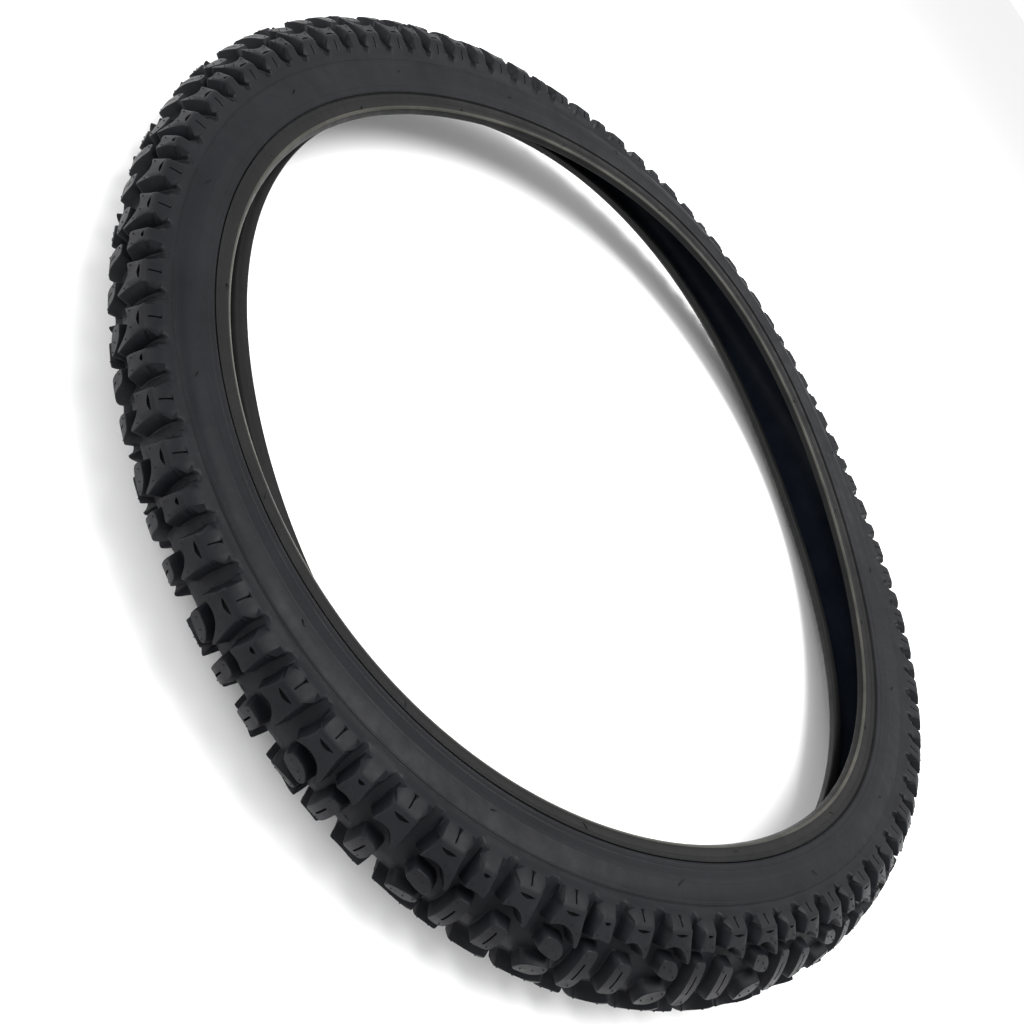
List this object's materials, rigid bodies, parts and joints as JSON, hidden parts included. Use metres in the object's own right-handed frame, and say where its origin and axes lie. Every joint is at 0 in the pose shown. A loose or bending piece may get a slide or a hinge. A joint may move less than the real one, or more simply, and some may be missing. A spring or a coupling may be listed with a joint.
{
  "type": "bicycle tyre",
  "caption": "Knobbly mountain-bike tyre off its rim: moulded tread with buttressed shoulder knobs, thin sidewalls, chafed wire beads and an open rim side, lying on its side.",
  "frame": {"origin": "wheel centre: on the wheel axis, in the plane midway between the two bead seats", "axes": "+Z along the wheel axis, out of the upper sidewall, as the tyre lies on its side; +X and +Y lie in the wheel plane, +X through the middle of a large shoulder knob"},
  "size_m": [0.7127, 0.6715, 0.0706],
  "materials": {
    "tread_rubber": "matt moulded black rubber",
    "sidewall_rubber": "satin moulded black rubber",
    "chafer_rubber": "grey-olive rubbered bead strip with fine ridges",
    "rubberised_fabric": "smooth blue-black rubber skim over nylon cord",
    "bead_steel": "bronze-coated steel wire"
  },
  "bodies": {
    "root": {"tread": "tread_rubber", "casing_ply": "rubberised_fabric", "sidewall_upper": "sidewall_rubber", "sidewall_lower": "sidewall_rubber", "chafer_upper": "chafer_rubber", "chafer_lower": "chafer_rubber", "bead_wire_upper": "bead_steel", "bead_wire_lower": "bead_steel"}
  },
  "joints": []
}
